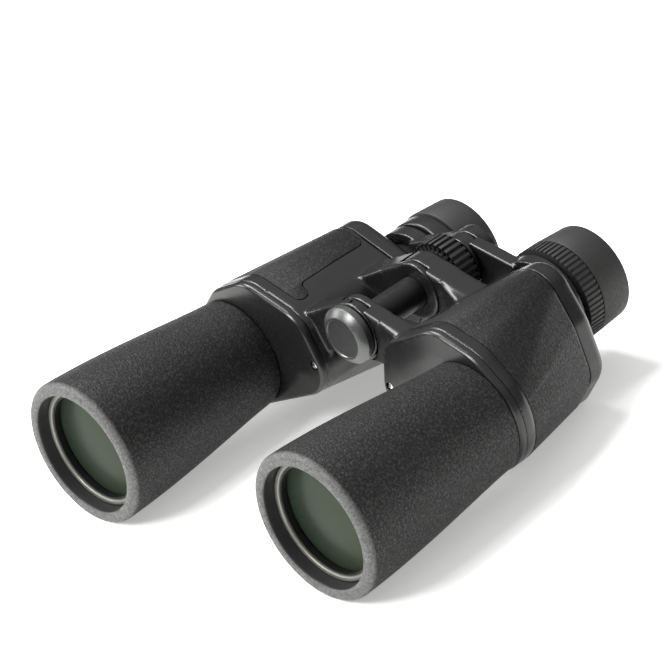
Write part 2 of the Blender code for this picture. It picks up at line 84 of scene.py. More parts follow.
# An objective lens: its radius, the depths of its domed face and its back, and how far the dome falls.
LENS_RADIUS, LENS_FRONT, LENS_BACK, LENS_SAG = 22.9, -77.0, -67.4, 2.8
LENS_CELL_BORE = 23.2

# Facets to a rib on a ribbed ring: two of them are raised.
FACETS_PER_RIB = 4


def at(x, y, z):
    """A place given in millimetres, its depth from the front datum."""
    return Vector((x, y - MIDDLE_Y, z)) * MM


# Finishes


class Finish:
    """A Principled material and the few node moves that its patterns need."""

    def __init__(self, name, colour, roughness, metallic=0.0, **more):
        self.material = bpy.data.materials.new(name)
        self.material.use_nodes = True
        self.tree = self.material.node_tree
        self.shader = self.tree.nodes["Principled BSDF"]
        self.set("Base Color", (*colour, 1))
        self.set("Roughness", roughness)
        self.set("Metallic", metallic)
        for socket, value in more.items():
            self.set(socket.replace("_", " "), value)

    def set(self, socket, value):
        self.shader.inputs[socket].default_value = value

    def node(self, kind, **inputs):
        made = self.tree.nodes.new(f"ShaderNode{kind}")
        for socket, value in inputs.items():
            made.inputs[socket.replace("_", " ")].default_value = value
        return made

    def place(self):
        """The point on the piece, in metres."""
        return self.node("TexCoord").outputs["Object"]

    def join(self, out, into):
        self.tree.links.new(out, into)

    def noise(self, scale, detail=2.0, roughness=0.5):
        """A soft random pattern on the piece."""
        made = self.node("TexNoise", Scale=scale, Detail=detail, Roughness=roughness)
        self.join(self.place(), made.inputs["Vector"])
        return made.outputs["Fac"]

    def cells(self, scale):
        """How far a point is from the middle of its pebble."""
        made = self.node("TexVoronoi", Scale=scale)
        self.join(self.place(), made.inputs["Vector"])
        return made.outputs["Distance"]

    def work_out(self, kind, first, second=0):
        """One step of arithmetic on outputs or plain numbers."""
        made = self.node("Math")
        made.operation = kind
        for socket, value in zip(made.inputs, (first, second)):
            if isinstance(value, (int, float)):
                socket.default_value = value
            else:
                self.join(value, socket)
        return made.outputs[0]

    def from_axis(self, axis):
        """Across, up, along and the radius, from the nearer of the left and right axes at (x, z)."""
        split = self.node("SeparateXYZ")
        self.join(self.place(), split.inputs[0])
        x, y, z = split.outputs
        own_side = self.work_out("MULTIPLY", self.work_out("SIGN", x), axis[0] * MM)
        across = self.work_out("SUBTRACT", x, own_side)
        up = self.work_out("SUBTRACT", z, axis[1] * MM)
        squares = [self.work_out("POWER", leg, 2) for leg in (across, up)]
        return across, up, y, self.work_out("SQRT", self.work_out("ADD", *squares))

    def mix_colours(self, value, first, second):
        """Blends from one colour to another, each an output or a plain colour."""
        mix = self.node("Mix")
        mix.data_type = "RGBA"
        for socket, colour in ((mix.inputs[6], first), (mix.inputs[7], second)):
            if isinstance(colour, tuple):
                socket.default_value = (*colour, 1)
            else:
                self.join(colour, socket)
        self.join(value, mix.inputs[0])
        return mix.outputs[2]

    def ramp(self, value, low, high, from_min=0.0, from_max=1.0):
        """Spreads a value from one range over another, and holds it there."""
        made = self.node("MapRange", From_Min=from_min, From_Max=from_max, To_Min=low, To_Max=high)
        self.join(value, made.inputs["Value"])
        return made.outputs["Result"]

    def blend_colour(self, value, first, second, from_min=0.0, from_max=1.0):
        """Blends between two colours as a value crosses a range."""
        return self.mix_colours(self.ramp(value, 0, 1, from_min, from_max), first, second)

    def bump(self, height, distance, strength=1.0):
        made = self.node("Bump", Strength=strength, Distance=distance)
        self.join(height, made.inputs["Height"])
        return made.outputs["Normal"]

    def roughness_from(self, value):
        self.join(value, self.shader.inputs["Roughness"])

    def colour_from(self, value):
        self.join(value, self.shader.inputs["Base Color"])

    def normal_from(self, value):
        self.join(value, self.shader.inputs["Normal"])


def satin_paint():
    """Black paint over cast metal: a faint orange peel and a slight unevenness of gloss."""
    paint = Finish("satin_black_paint", (0.009, 0.009, 0.0088), 0.25)
    paint.roughness_from(paint.ramp(paint.noise(90, 3), 0.22, 0.3, 0.3, 0.7))
    paint.normal_from(paint.bump(paint.noise(1400, 2), 0.00002, 0.3))
    return paint.material


def pebbled(name, grain, depth, colours, bare_rim=False):
    """Armour rubber with a fine random pebble. On the tubes it ends in a paler rim and a smooth hood."""
    skin = Finish(name, colours[0], 0.5, Specular_IOR_Level=0.32)
    pebble = skin.cells(grain)
    fine = skin.noise(grain * 0.9, 4, 0.75)
    colour = skin.blend_colour(fine, *colours, 0.48, 0.68)
    raised = skin.work_out("ADD", skin.ramp(pebble, 0.6, 0, 0, 0.8), fine)
    roughness = skin.ramp(fine, 0.66, 0.42, 0.4, 0.65)
    if bare_rim:
        _, _, along, radius = skin.from_axis(OBJECTIVE)
        front = skin.ramp(along, 1, 0, at(0, -83.3, 0).y, at(0, -81.4, 0).y)
        rim_grey = skin.blend_colour(fine, (0.055, 0.055, 0.054), (0.15, 0.15, 0.146), 0.35, 0.7)
        colour = skin.mix_colours(front, colour, rim_grey)
        hood = skin.ramp(radius, 1, 0, 25.5 * MM, 25.8 * MM)
        ahead = skin.ramp(along, 1, 0, at(0, -62, 0).y, at(0, -60, 0).y)
        hood = skin.work_out("MULTIPLY", hood, ahead)
        colour = skin.mix_colours(hood, colour, (0.02, 0.02, 0.0205))
        bare = skin.work_out("MAXIMUM", hood, skin.work_out("MULTIPLY", front, 0.7))
        raised = skin.work_out("MULTIPLY", raised, skin.work_out("SUBTRACT", 1.0, bare))
        roughness = skin.work_out("SUBTRACT", roughness, skin.work_out("MULTIPLY", hood, 0.15))
    skin.colour_from(colour)
    skin.roughness_from(roughness)
    skin.normal_from(skin.bump(raised, depth))
    return skin.material


def moulded_rubber():
    """Matt moulded rubber, a little cloudy in its colour."""
    rubber = Finish("moulded_rubber", (0.018, 0.018, 0.0175), 0.58)
    fine = rubber.noise(900, 3)
    cloud = rubber.noise(60, 2)
    colour = rubber.blend_colour(cloud, (0.011, 0.011, 0.0107), (0.017, 0.017, 0.0163), 0.3, 0.7)
    rubber.colour_from(colour)
    rubber.roughness_from(rubber.ramp(fine, 0.52, 0.7, 0.3, 0.7))
    rubber.normal_from(rubber.bump(fine, 0.00003, 0.4))
    return rubber.material


def anodised(name, colour, roughness, metallic):
    """Turned and anodised aluminium."""
    metal = Finish(name, colour, roughness, metallic)
    metal.roughness_from(metal.ramp(metal.noise(500, 3), roughness - 0.06, roughness + 0.08, 0.3, 0.7))
    metal.normal_from(metal.bump(metal.noise(1800, 2), 0.00001, 0.3))
    return metal.material


def grey_metallic():
    """Grey metallic paint: a fine sparkle in its colour and gloss."""
    paint = Finish("grey_metallic_paint", (0.12, 0.123, 0.12), 0.34, 0.8)
    flake = paint.noise(2600, 2)
    paint.colour_from(paint.blend_colour(flake, (0.095, 0.098, 0.095), (0.14, 0.144, 0.14), 0.35, 0.65))
    paint.roughness_from(paint.ramp(flake, 0.3, 0.38, 0.3, 0.7))
    paint.normal_from(paint.bump(flake, 0.00001, 0.15))
    return paint.material


def plain_steel():
    """Bright steel, its polish a little uneven."""
    metal = Finish("plain_steel", (0.62, 0.62, 0.6), 0.28, 1.0)
    metal.roughness_from(metal.ramp(metal.noise(700, 2), 0.2, 0.36, 0.3, 0.7))
    return metal.material


def coated_glass():
    """A lens seen over a dark tube, its coating's green and amber painted in as a glow: a painted reflection,
    lighter across one side and painted shade across the other.
    """
    # The emission makes the lens glow though it is no lamp: the coating's reflection is painted in, not lit.
    glass = Finish(
        "coated_glass_painted_green_glow", (0.012, 0.016, 0.012), 0.3, Specular_IOR_Level=0.08, Emission_Strength=0.45
    )
    across, up, _, _ = glass.from_axis(OBJECTIVE)
    slant = glass.work_out(
        "ADD", glass.work_out("MULTIPLY", across, 0.8), glass.work_out("MULTIPLY", up, 0.35)
    )
    # A place across the lens, tilted and blurred, along which the painted light and painted shade run.
    sheen = glass.work_out("ADD", slant, glass.work_out("MULTIPLY", glass.noise(45, 1), 6 * MM))
    painted_shade_colour = glass.blend_colour(sheen, (0.012, 0.024, 0.014), (0.05, 0.07, 0.038), -16 * MM, 6 * MM)
    lit = glass.ramp(sheen, 0, 1, 0, 24 * MM)
    painted_sheen_colour = glass.mix_colours(lit, painted_shade_colour, (0.125, 0.165, 0.085))
    # The colour of painted light and painted shade drives the emission, so the glass glows with it.
    glass.join(painted_sheen_colour, glass.shader.inputs["Emission Color"])
    glass.roughness_from(glass.ramp(glass.noise(40, 1), 0.26, 0.34, 0.3, 0.7))
    return glass.material


def clear_glass():
    """The eyepieces' glass."""
    glass = Finish("clear_glass", (0.75, 0.8, 0.78), 0.04, 0.0, Transmission_Weight=0.85, IOR=1.52)
    glass.roughness_from(glass.ramp(glass.noise(60, 1), 0.02, 0.06, 0.3, 0.7))
    return glass.material


SLOTS = {
    "housing": satin_paint(),
    "armour": pebbled(
        "tube_armour", 1200, 0.00024, ((0.001, 0.001, 0.001), (0.042, 0.042, 0.04)), bare_rim=True
    ),
    "rubber": moulded_rubber(),
    "inner_metal": anodised("black_anodised", (0.012, 0.012, 0.012), 0.34, 0.4),
    "ring_metal": anodised("clear_anodised", (0.21, 0.21, 0.185), 0.45, 0.5),
    "cap_metal": grey_metallic(),
    "screw_steel": plain_steel(),
    "coated_glass": coated_glass(),
    "clear_glass": clear_glass(),
}
PANEL_ARMOUR = pebbled("panel_armour", 1200, 0.00014, ((0.002, 0.002, 0.002), (0.032, 0.032, 0.03)))
for entry in frame["record"]["subparts"]:
    skins = NODES[entry["node"]].data.materials
    skins.clear()
    skins.append(SLOTS[entry["material_slot"]])


# Bench tools: select, draw out, hull, cut, soften


def use(obj):
    """Selects one object and nothing else."""
    bpy.ops.object.select_all(action="DESELECT")
    obj.select_set(True)
    bpy.context.view_layer.objects.active = obj
    return obj


def settle(obj):
    """Puts an object's place, turn and size into its mesh."""
    use(obj)
    bpy.ops.object.transform_apply(location=True, rotation=True, scale=True)
    return obj


def edit(obj):
    """Opens an object for editing with all of it selected."""
    use(obj)
    bpy.ops.object.mode_set(mode="EDIT")
    bpy.ops.mesh.select_mode(type="VERT")
    bpy.ops.mesh.select_all(action="SELECT")


def leave():
    bpy.ops.object.mode_set(mode="OBJECT")


def pick_corners(obj, wanted):
    """Selects, in edit mode, the corners whose place passes a test."""
    bpy.ops.mesh.select_mode(type="VERT")
    bpy.ops.mesh.select_all(action="DESELECT")
    leave()
    for corner in obj.data.vertices:
        corner.select = bool(wanted(corner.co))
    bpy.ops.object.mode_set(mode="EDIT")


def pick_edges(obj, wanted):
    """Selects, in edit mode, the edges whose two ends pass a test."""
    bpy.ops.mesh.select_mode(type="EDGE")
    bpy.ops.mesh.select_all(action="DESELECT")
    leave()
    corners = obj.data.vertices
    for edge in obj.data.edges:
        edge.select = bool(wanted(*(corners[end].co for end in edge.vertices)))
    bpy.ops.object.mode_set(mode="EDIT")


def pick_faces(obj, wanted):
    """Selects, in edit mode, the faces that pass a test."""
    bpy.ops.mesh.select_mode(type="FACE")
    bpy.ops.mesh.select_all(action="DESELECT")
    leave()
    for face in obj.data.polygons:
        face.select = bool(wanted(face))
    bpy.ops.object.mode_set(mode="EDIT")


def from_centre(face, axis):
    """A face's distance and turn about the axis at (x, z), in millimetres and radians."""
    out = Vector((face.center.x, face.center.z)) / MM - Vector(axis)
    return out.length, math.atan2(out.y, out.x) % math.tau


def apply(obj, kind, **settings):
    """Adds a modifier and applies it."""
    use(obj)
    bpy.ops.object.modifier_add(type=kind)
    modifier = obj.modifiers[-1]
    for key, value in settings.items():
        setattr(modifier, key, value)
    bpy.ops.object.modifier_apply(modifier=modifier.name)
    return obj


def soften(obj, width, angle=30):
    """Rounds the edges sharper than an angle in degrees."""
    limit = math.radians(angle)
    return apply(obj, "BEVEL", width=width * MM, segments=2, limit_method="ANGLE", angle_limit=limit)


def combine(obj, other, operation):
    """Unites, cuts or keeps what is common, and uses up the other object."""
    apply(obj, "BOOLEAN", object=other, operation=operation, solver="EXACT")
    bpy.data.objects.remove(other)
    return obj


def cut(obj, other):
    """Cuts one object out of another."""
    return combine(obj, other, "DIFFERENCE")


def join(obj, *others):
    """Makes several objects one, without uniting their solids."""
    use(obj)
    for other in others:
        other.select_set(True)
    bpy.ops.object.join()
    return obj


def turned(name, axis, profile, sides=96, closed=True):
    """Draws a ring out along Y through (radius, depth) steps, as on a lathe. An open one gets flat ends."""
    x, z = axis
    radius, y = profile[0]
    bpy.ops.mesh.primitive_circle_add(
        vertices=sides, radius=radius * MM, location=at(x, y, z), rotation=(math.pi / 2, 0, 0)
    )
    obj = settle(bpy.context.object)
    obj.name = name
    edit(obj)
    for new_radius, new_y in profile[1:] + (profile[:1] if closed else []):
        bpy.ops.mesh.extrude_region_move(TRANSFORM_OT_translate={"value": (0, (new_y - y) * MM, 0)})
        scale = new_radius / radius
        bpy.ops.transform.resize(value=(scale, 1, scale), center_override=at(x, new_y, z))
        radius, y = new_radius, new_y
    bpy.ops.mesh.select_all(action="SELECT")
    if closed:
        bpy.ops.mesh.remove_doubles(threshold=1e-7)
    else:
        bpy.ops.mesh.fill_holes(sides=0)
    bpy.ops.mesh.select_all(action="SELECT")
    bpy.ops.mesh.normals_make_consistent(inside=False)
    leave()
    return obj


def round_bar(name, axis, radius, start, end, sides=96):
    """A plain round bar along Y, for knuckles, rings and cutters."""
    return turned(name, axis, [(radius, start), (radius, end)], sides, closed=False)


def corner(radius, y, reach, turns, steps=5):
    """Points of a rounded corner about (radius, y), between two turns in degrees."""
    first, last = (math.radians(turn) for turn in turns)
    angles = [first + (last - first) * step / steps for step in range(steps + 1)]
    return [(radius + reach * math.cos(a), y + reach * math.sin(a)) for a in angles]


def stretched(name, side, stations, sides=96):
    """A skin stretched over discs: stations are (depth, discs, inset)."""
    discs = []
    for y, circles, inset in stations:
        for x, z, radius in circles:
            bpy.ops.mesh.primitive_circle_add(
                vertices=sides,
                radius=(radius - inset) * MM,
                location=at(side * x, y, z),
                rotation=(math.pi / 2, 0, 0),
            )
            discs.append(bpy.context.object)
    obj = settle(join(*discs))
    obj.name = name
    edit(obj)
    bpy.ops.mesh.convex_hull()
    bpy.ops.mesh.select_all(action="SELECT")
    bpy.ops.mesh.dissolve_limited(angle_limit=math.radians(0.2))
    for end in (min(stations), max(stations)):
        corners = obj.data.vertices
        plane = at(0, end[0], 0).y
        pick_faces(obj, lambda face: all(abs(corners[spot].co.y - plane) < 2e-6 for spot in face.vertices))
        bpy.ops.mesh.dissolve_faces()
    bpy.ops.mesh.select_all(action="SELECT")
    bpy.ops.mesh.normals_make_consistent(inside=False)
    leave()
    return obj


def block(name, side, x, y, z):
    """A box between pairs of millimetre limits, x counted outwards from the hinge."""
    low, high = at(side * x[0], y[0], z[0]), at(side * x[1], y[1], z[1])
    size = [abs(b - a) for a, b in zip(low, high)]
    bpy.ops.mesh.primitive_cube_add(size=1, location=(low + high) / 2, scale=size)
    obj = settle(bpy.context.object)
    obj.name = name
    return obj


def shift(obj, wanted, move):
    """Moves the corners whose place passes a test, in millimetres."""
    edit(obj)
    pick_corners(obj, wanted)
    bpy.ops.transform.translate(value=Vector(move) * MM)
    leave()


def web(name, side, y, inner, outer, chamfer=0.0):
    """An arm's web, its top front edge chamfered: inner and outer are (x, lowest z, highest z) at its ends."""
    obj = block(name, side, (inner[0], outer[0]), y, (inner[1], inner[2]))
    far = (inner[0] + outer[0]) / 2 * MM
    shift(obj, lambda spot: abs(spot.x) > far and spot.z < 0.05, (0, 0, outer[1] - inner[1]))
    shift(obj, lambda spot: abs(spot.x) > far and spot.z > 0.05, (0, 0, outer[2] - inner[2]))
    if chamfer:
        front = (y[0] - MIDDLE_Y) * MM
        edit(obj)
        pick_edges(obj, lambda *ends: all(spot.z > 0.046 and abs(spot.y - front) < 1e-5 for spot in ends))
        bpy.ops.mesh.bevel(offset=chamfer * MM, segments=1)
        leave()
    return obj


def melt(obj, wanted, iterations):
    """Smooths one region of a casting, as a cast fillet is."""
    edit(obj)
    pick_corners(obj, wanted)
    bpy.ops.object.vertex_group_assign_new()
    leave()
    region = obj.vertex_groups[-1].name
    apply(obj, "SMOOTH", factor=0.5, iterations=iterations, vertex_group=region)
    bpy.ops.object.vertex_group_remove(all=True)
    return obj


def hand_in(obj, name, body, slot, *nodes, look=None, angle=35):
    """Names a finished piece, shades it, paints it and sets it on its body in place of its nodes."""
    obj.name = name
    obj.data.name = name
    obj.data.materials.clear()
    obj.data.materials.append(look or SLOTS[slot])
    use(obj)
    bpy.ops.object.shade_smooth_by_angle(angle=math.radians(angle))
    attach(obj, body)
    if nodes:
        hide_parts(*nodes)
    return obj


# Pieces of one half


def housing_stations(inset, past=0.0):
    """The housing's skin drawn in by an inset and reaching past both ends."""
    return [
        (HOUSING_FRONT - past, FRONT_DISCS, inset),
        (8.0, FRONT_DISCS, inset),
        (HOUSING_REAR + past, REAR_DISCS, inset),
    ]


def pad_outline(side, grown):
    """A block as wide as the pad seen from above: its long side, the tab by the hinge, the low outer side."""
    front, rear, tab_rear = 9.8 - grown, 56.0 + grown, 17.6 + grown
    high = block("pad_outline", side, (38.0 - grown, 130), (front, rear), (36, 90))
    shift(high, lambda spot: abs(spot.x) < 0.06 and spot.y > 0.03, (side * 2.6, 0, 0))
    tab = block("pad_tab", side, (31.0 - grown, 60), (front, tab_rear), (36, 90))
    shift(tab, lambda spot: abs(spot.x) < 0.04 and spot.y > 0.005, (side * 1.0, 0, 0))
    combine(high, tab, "UNION")
    edit(high)
    pick_edges(high, lambda top, foot: abs(top.z - foot.z) > 0.02 and abs(top.x) < 0.06)
    bpy.ops.mesh.bevel(offset=3.2 * MM, segments=6)
    leave()
    low = block("pad_low", side, (72 - grown, 131), (front, rear), (-10, 38))
    shift(low, lambda spot: abs(spot.x) < 0.1 and spot.y > 0.03, (side * -15, 0, 0))
    return combine(high, low, "UNION")


def pad_shell(side, outer, inner, grown):
    """The pad's outline cut from a skin between two insets of the housing."""
    skin = stretched("pad_skin", side, housing_stations(outer, 2))
    cut(skin, stretched("pad_core", side, housing_stations(inner, 4)))
    return combine(skin, pad_outline(side, grown), "INTERSECT")


def gusset(side, y, way, reach=7.5):
    """The wedge of metal in the corner between an arm's face at y and the housing's wall.

    It lies in front of the face where way is -1, and behind it where way is 1.
    """
    span = (y - 0.6, y + reach) if way > 0 else (y - reach, y + 0.6)
    obj = block("gusset", side, (18, 34), span, (36, 56.4))
    tip = at(0, span[0] + 1 if way < 0 else span[1] - 1, 0).y
    wall = 26 * MM

    def at_tip(spot):
        return (spot.y - tip) * way > 0

    def wall_top(spot):
        return abs(spot.x) > wall and spot.z > 50 * MM

    shift(obj, lambda spot: abs(spot.x) < wall and at_tip(spot), (0, -way * (reach - 0.2), 0))
    shift(obj, wall_top, (0, 0, -5.1))
    shift(obj, lambda spot: wall_top(spot) and at_tip(spot), (0, -way * 2, 0))
    return obj


def prism_housing(side):
    """The cast shell: skin, arms, gussets and knuckles, then its bore, its hollow and the pad's seat."""
    name = f"{SIDE[side]}_prism_housing"
    shell = stretched(name, side, housing_stations(0))
    front = web("front_web", side, (8.0, 16.6), (3.9, 38.6, 61.9), (32, 37, 52.3), 0.7)
    rear = web("rear_web", side, (42.0, 54.0), (3.9, 38.6, 61.9), (32, 37, 52.3), 0.9)
    gussets = [gusset(side, 8.0, -1, 3.2), gusset(side, 16.6, 1), gusset(side, 42.0, -1)]
    if side == LEFT:
        own = ((8.0, 12.5), (42.0, 45.0))
        rooms = ((12.5, 22.0), (45.0, 60.0))
    else:
        own = ((12.8, 16.6), (45.3, 54.0))
        rooms = ((3.0, 12.8), (37.0, 45.3))
    knuckles = [round_bar("knuckle", HINGE, KNUCKLE_RADIUS, *span) for span in own]
    for arm in (front, rear):
        for room in rooms:
            cut(arm, round_bar("room", HINGE, KNUCKLE_ROOM, *room))
    join(shell, front, rear, *gussets, *knuckles)
    apply(shell, "REMESH", mode="VOXEL", voxel_size=0.44 * MM)
    apply(shell, "SMOOTH", factor=0.5, iterations=14)
    melt(shell, lambda spot: 0.016 < abs(spot.x) < 0.044 and spot.z > 0.03, 30)
    cut(shell, round_bar("bore", HINGE, TUBE_BORE, 0, 60))
    cut(shell, stretched("hollow", side, housing_stations(WALL, 3)))
    cut(shell, pad_shell(side, -2.0, 1.25, 0.0))
    return hand_in(shell, name + "_casting", f"{SIDE[side]}_half", "housing", name)


def grip_pad(side):
    """The armour panel, a little proud of its seat and clear of the seat's edge."""
    name = f"{SIDE[side]}_grip_panel"
    pad = pad_shell(side, -0.15, 0.95, -0.3)
    soften(pad, 0.45, 50)
    return hand_in(pad, name + "_rubber", f"{SIDE[side]}_half", "armour", name, look=PANEL_ARMOUR)


def front_cover(side):
    """The flat front plate with its broad chamfer, the tube's hole and a screw's seat."""
    name = f"{SIDE[side]}_front_cover"
    chamfer = ((1.3, 1.2), (1.45, 0.85), (2.3, 0.12), (2.6, 0.0), (4.35, 0.0))
    plate = stretched(name, side, [(y, FRONT_DISCS, inset) for y, inset in chamfer])
    cut(plate, round_bar("hole", (side * OBJECTIVE[0], OBJECTIVE[1]), 21.5, 0, 9))
    cut(plate, round_bar("seat", (side * COVER_SCREW[0], COVER_SCREW[1]), 1.95, 0, 3.5, 32))
    return hand_in(plate, name + "_plate", f"{SIDE[side]}_half", "housing", name)


def rear_cover(side):
    """The domed cap behind the housing: its edge turns over in a quarter round, deeper than it is wide."""
    name = f"{SIDE[side]}_rear_cover"
    stations = [(58.05, REAR_DISCS, 0.25), (58.35, REAR_DISCS, 0.0)]
    back, depth, width, steps = 67.2, 4.6, 4.4, 7
    for step in range(steps + 1):
        turn = math.radians(90 * step / steps)
        stations.append((back - depth * (1 - math.sin(turn)), REAR_DISCS, width * (1 - math.cos(turn))))
    cap = stretched(name, side, stations)
    cut(cap, stretched("hollow", side, [(57.0, REAR_DISCS, 3.2), (63.8, REAR_DISCS, 3.2)]))
    cut(cap, round_bar("hole", (side * EYEPIECE[0], EYEPIECE[1]), 15.5, 57, 69))
    return hand_in(cap, name + "_shell", f"{SIDE[side]}_half", "housing", name)


def tube_radius(y):
    """The objective tube flares gently from its neck to the rim."""
    neck, flare, share = 23.5, 7.3, (y + 84.3) / 85.3
    return neck + flare * (1 - share**1.7) ** 1.3


def objective_tube(side):
    """The flared tube with its rounded rim, its bore and the shoulder behind the hood."""
    name = f"{SIDE[side]}_objective_tube"
    axis = (side * OBJECTIVE[0], OBJECTIVE[1])
    rim = corner(26.7, -82.95, 1.3, (180, 270), 4) + corner(28.0, -81.45, 2.8, (270, 360), 6)
    rim[-1] = (tube_radius(-81.5), -81.5)
    body = [(tube_radius(y), y) for y in range(-77, 0, 7)] + corner(22.9, 0.4, 0.6, (0, 90), 3)
    inside = [(21.2, 1.0), (21.2, 7.7), (19.6, 7.7), (19.6, 0.0), (23.0, -62.0), (25.4, -62.0)]
    tube = turned(name, axis, rim + body + inside)
    return hand_in(tube, name + "_sleeve", f"{SIDE[side]}_half", "armour", name)


def objective_optics(side):
    """The retaining ring, the cell with its narrow lip, and the domed lens."""
    half = f"{SIDE[side]}_half"
    name = SIDE[side]
    axis = (side * OBJECTIVE[0], OBJECTIVE[1])
    bore = LENS_CELL_BORE
    ring = turned("ring", axis, [(bore, -78.1), (23.6, -78.6), (25.0, -78.6), (25.0, -76.4), (bore, -76.4)])
    soften(ring, 0.12)
    hand_in(ring, f"{name}_retaining_ring_turned", half, "ring_metal", f"{name}_retaining_ring")
    lip = [(23.1, -77.5), (22.4, -77.5), (22.4, -75.2), (bore, -75.2), (bore, -62.3)]
    cell = turned("cell", axis, lip + [(25.1, -62.3), (25.1, -76.2), (23.1, -76.2)])
    hand_in(cell, f"{name}_lens_cell_turned", half, "inner_metal", f"{name}_lens_cell")
    rings = (0.2, 3, 6, 9, 12, 15, 18, 20.5, LENS_RADIUS)
    dome = [(radius, LENS_FRONT + LENS_SAG * (radius / LENS_RADIUS) ** 2) for radius in rings]
    lens = turned("lens", axis, dome + [(LENS_RADIUS, LENS_BACK), (0.2, LENS_BACK)], closed=False)
    hand_in(lens, f"{name}_objective_lens_coated", half, "coated_glass", f"{name}_objective_lens")


def cover_screw(side):
    """A small domed screw head with a cross cut in it."""
    name = f"{SIDE[side]}_cover_screw"
    x, z = side * COVER_SCREW[0], COVER_SCREW[1]
    dome = [(0.2, 1.55), (0.9, 1.6), (1.35, 1.8), (1.6, 2.2), (1.6, 3.2), (0.2, 3.2)]
    head = turned("screw", (x, z), dome, 32, closed=False)
    for turn in (25, 115):
        bpy.ops.mesh.primitive_cube_add(
            size=1,
            location=at(x, 1.6, z),
            scale=Vector((2.1, 1.2, 0.4)) * MM,
            rotation=(0, math.radians(turn), 0),
        )
        cut(head, settle(bpy.context.object))
    return hand_in(head, name + "_cross", f"{SIDE[side]}_half", "screw_steel", name)


def bridge_arm(side):
    """One arm of the ocular bridge: its knuckle on the spindle, and the ring that clamps the eyepiece."""
    name = f"{SIDE[side]}_bridge_arm"
    arm = web(name, side, (68.4, 74.8), (3.2, 39.9, 60.4), (30, 39, 53), 0.6)
    x, z = side * EYEPIECE[0], EYEPIECE[1]
    start, end = (67.0, 73.2) if side == LEFT else (73.5, 79.6)
    room = (end, end + 20) if side == LEFT else (start - 20, start)
    cut(arm, round_bar("room", HINGE, OCULAR_ROOM, *room))
    knuckle = round_bar("knuckle", HINGE, OCULAR_KNUCKLE_RADIUS, start, end)
    ring = round_bar("ring", (x, z), 20.2, 70.2, 76.6)
    join(arm, knuckle, ring)
    apply(arm, "REMESH", mode="VOXEL", voxel_size=0.34 * MM)
    apply(arm, "SMOOTH", factor=0.5, iterations=10)
    cut(arm, round_bar("bore", HINGE, SPINDLE_BORE, 50, 90, 48))
    cut(arm, round_bar("ring_bore", (x, z), 17.4, 60, 85))
    return hand_in(arm, name + "_casting", f"{SIDE[side]}_ocular", "housing", name)


def eyecup(side):
    """The rubber cup, its lip rounded and its inside stepped in to the eye lens."""
    name = f"{SIDE[side]}_eyecup"
    axis = (side * EYEPIECE[0], EYEPIECE[1])
    lip = corner(19.4, 100.95, 1.0, (0, 90), 4) + corner(18.6, 101.15, 0.8, (90, 180), 4)
    profile = [(EYEPIECE_BORE, 86.2), (20.6, 86.2), (21.1, 86.4), (21.3, 86.9)] + lip
    profile += [(16.9, 95.7), (16.2, 95.2), (12.5, 95.2), (12.5, 93.8), (EYEPIECE_BORE, 93.8)]
    cup = turned(name, axis, profile)
    body = "left_ocular" if side == LEFT else "diopter"
    return hand_in(cup, name + "_rubber", body, "rubber", name)


def ribbed(name, axis, radius, start, end, bore, ribs, lift, face_rings=()):
    """A ring with ribs, each raised from two facets in four. Face rings part its front face."""
    sides = ribs * FACETS_PER_RIB
    front = [(bore, start)] + [(ring, start) for ring in face_rings]
    outside = [(radius - lift, start), (radius - lift, end)]
    ring = turned(name, axis, front + outside + [(bore, end)], sides)

    def on_rib(face):
        reach, turn = from_centre(face, axis)
        facet = int(turn / (math.tau / sides)) % FACETS_PER_RIB
        return reach > radius - lift - 1.5 and facet in (0, 1) and abs(face.normal.y) < 0.5

    edit(ring)
    pick_faces(ring, on_rib)
    bpy.ops.mesh.extrude_region_shrink_fatten(TRANSFORM_OT_shrink_fatten={"value": -lift * MM})
    leave()
    return ring


def diopter_ring():
    """The right eyepiece's ring, ribbed all round."""
    ring = ribbed("diopter", EYEPIECE, 21.9, 78.2, 85.9, EYEPIECE_BORE, ribs=60, lift=0.55)
    soften(ring, 0.16)
    return hand_in(ring, "diopter_ring_ribbed", "diopter", "rubber", "diopter_ring")


def left_collar():
    """The plain collar where the right eyepiece has its diopter ring."""
    axis = (LEFT * EYEPIECE[0], EYEPIECE[1])
    outside = [(20.0, 78.2), (20.6, 78.8), (20.6, 85.3), (20.0, 85.9)]
    collar = turned("collar", axis, [(EYEPIECE_BORE, 78.2)] + outside + [(EYEPIECE_BORE, 85.9)])
    soften(collar, 0.2)
    return hand_in(collar, "left_eyepiece_collar_turned", "left_ocular", "housing", "left_eyepiece_collar")


def focus_wheel():
    """The ribbed wheel, with a pocket in its front face between each pair of ribs."""
    ribs, inner, outer = 30, 10.8, 13.5
    wheel = ribbed("wheel", HINGE, 15.4, 55.6, 64.0, SPINDLE_BORE, ribs, 1.2, (inner, outer))

    def in_pocket(face):
        reach, turn = from_centre(face, HINGE)
        facet = int(turn / (math.tau / (ribs * FACETS_PER_RIB))) % FACETS_PER_RIB
        return face.normal.y < -0.9 and inner < reach < outer and facet in (2, 3)

    edit(wheel)
    pick_faces(wheel, in_pocket)
    bpy.ops.mesh.extrude_region_move(TRANSFORM_OT_translate={"value": (0, 2 * MM, 0)})
    leave()
    soften(wheel, 0.22)
    return hand_in(wheel, "focus_wheel_ribbed", "focus_wheel", "rubber", "focus_wheel")


def hinge_cap():
    """The cap: a sunk disc inside a raised ring, a broad bevel, and the stem that screws in behind."""
    disc = [(0.2, 2.25), (8.0, 2.2), (8.25, 1.75), (8.9, 1.7)]
    bevel = [(9.2, 1.85), (11.8, 4.1), (12.1, 4.5), (12.1, 7.0), (11.8, 7.4)]
    stem = [(11.0, 7.4), (11.0, 4.9), (3.0, 4.4), (3.0, 13.4), (2.2, 14.2), (0.2, 14.2)]
    cap = turned("cap", HINGE, disc + bevel + stem, closed=False)
    return hand_in(cap, "hinge_cap_turned", "hinge_cap", "cap_metal", "hinge_cap")


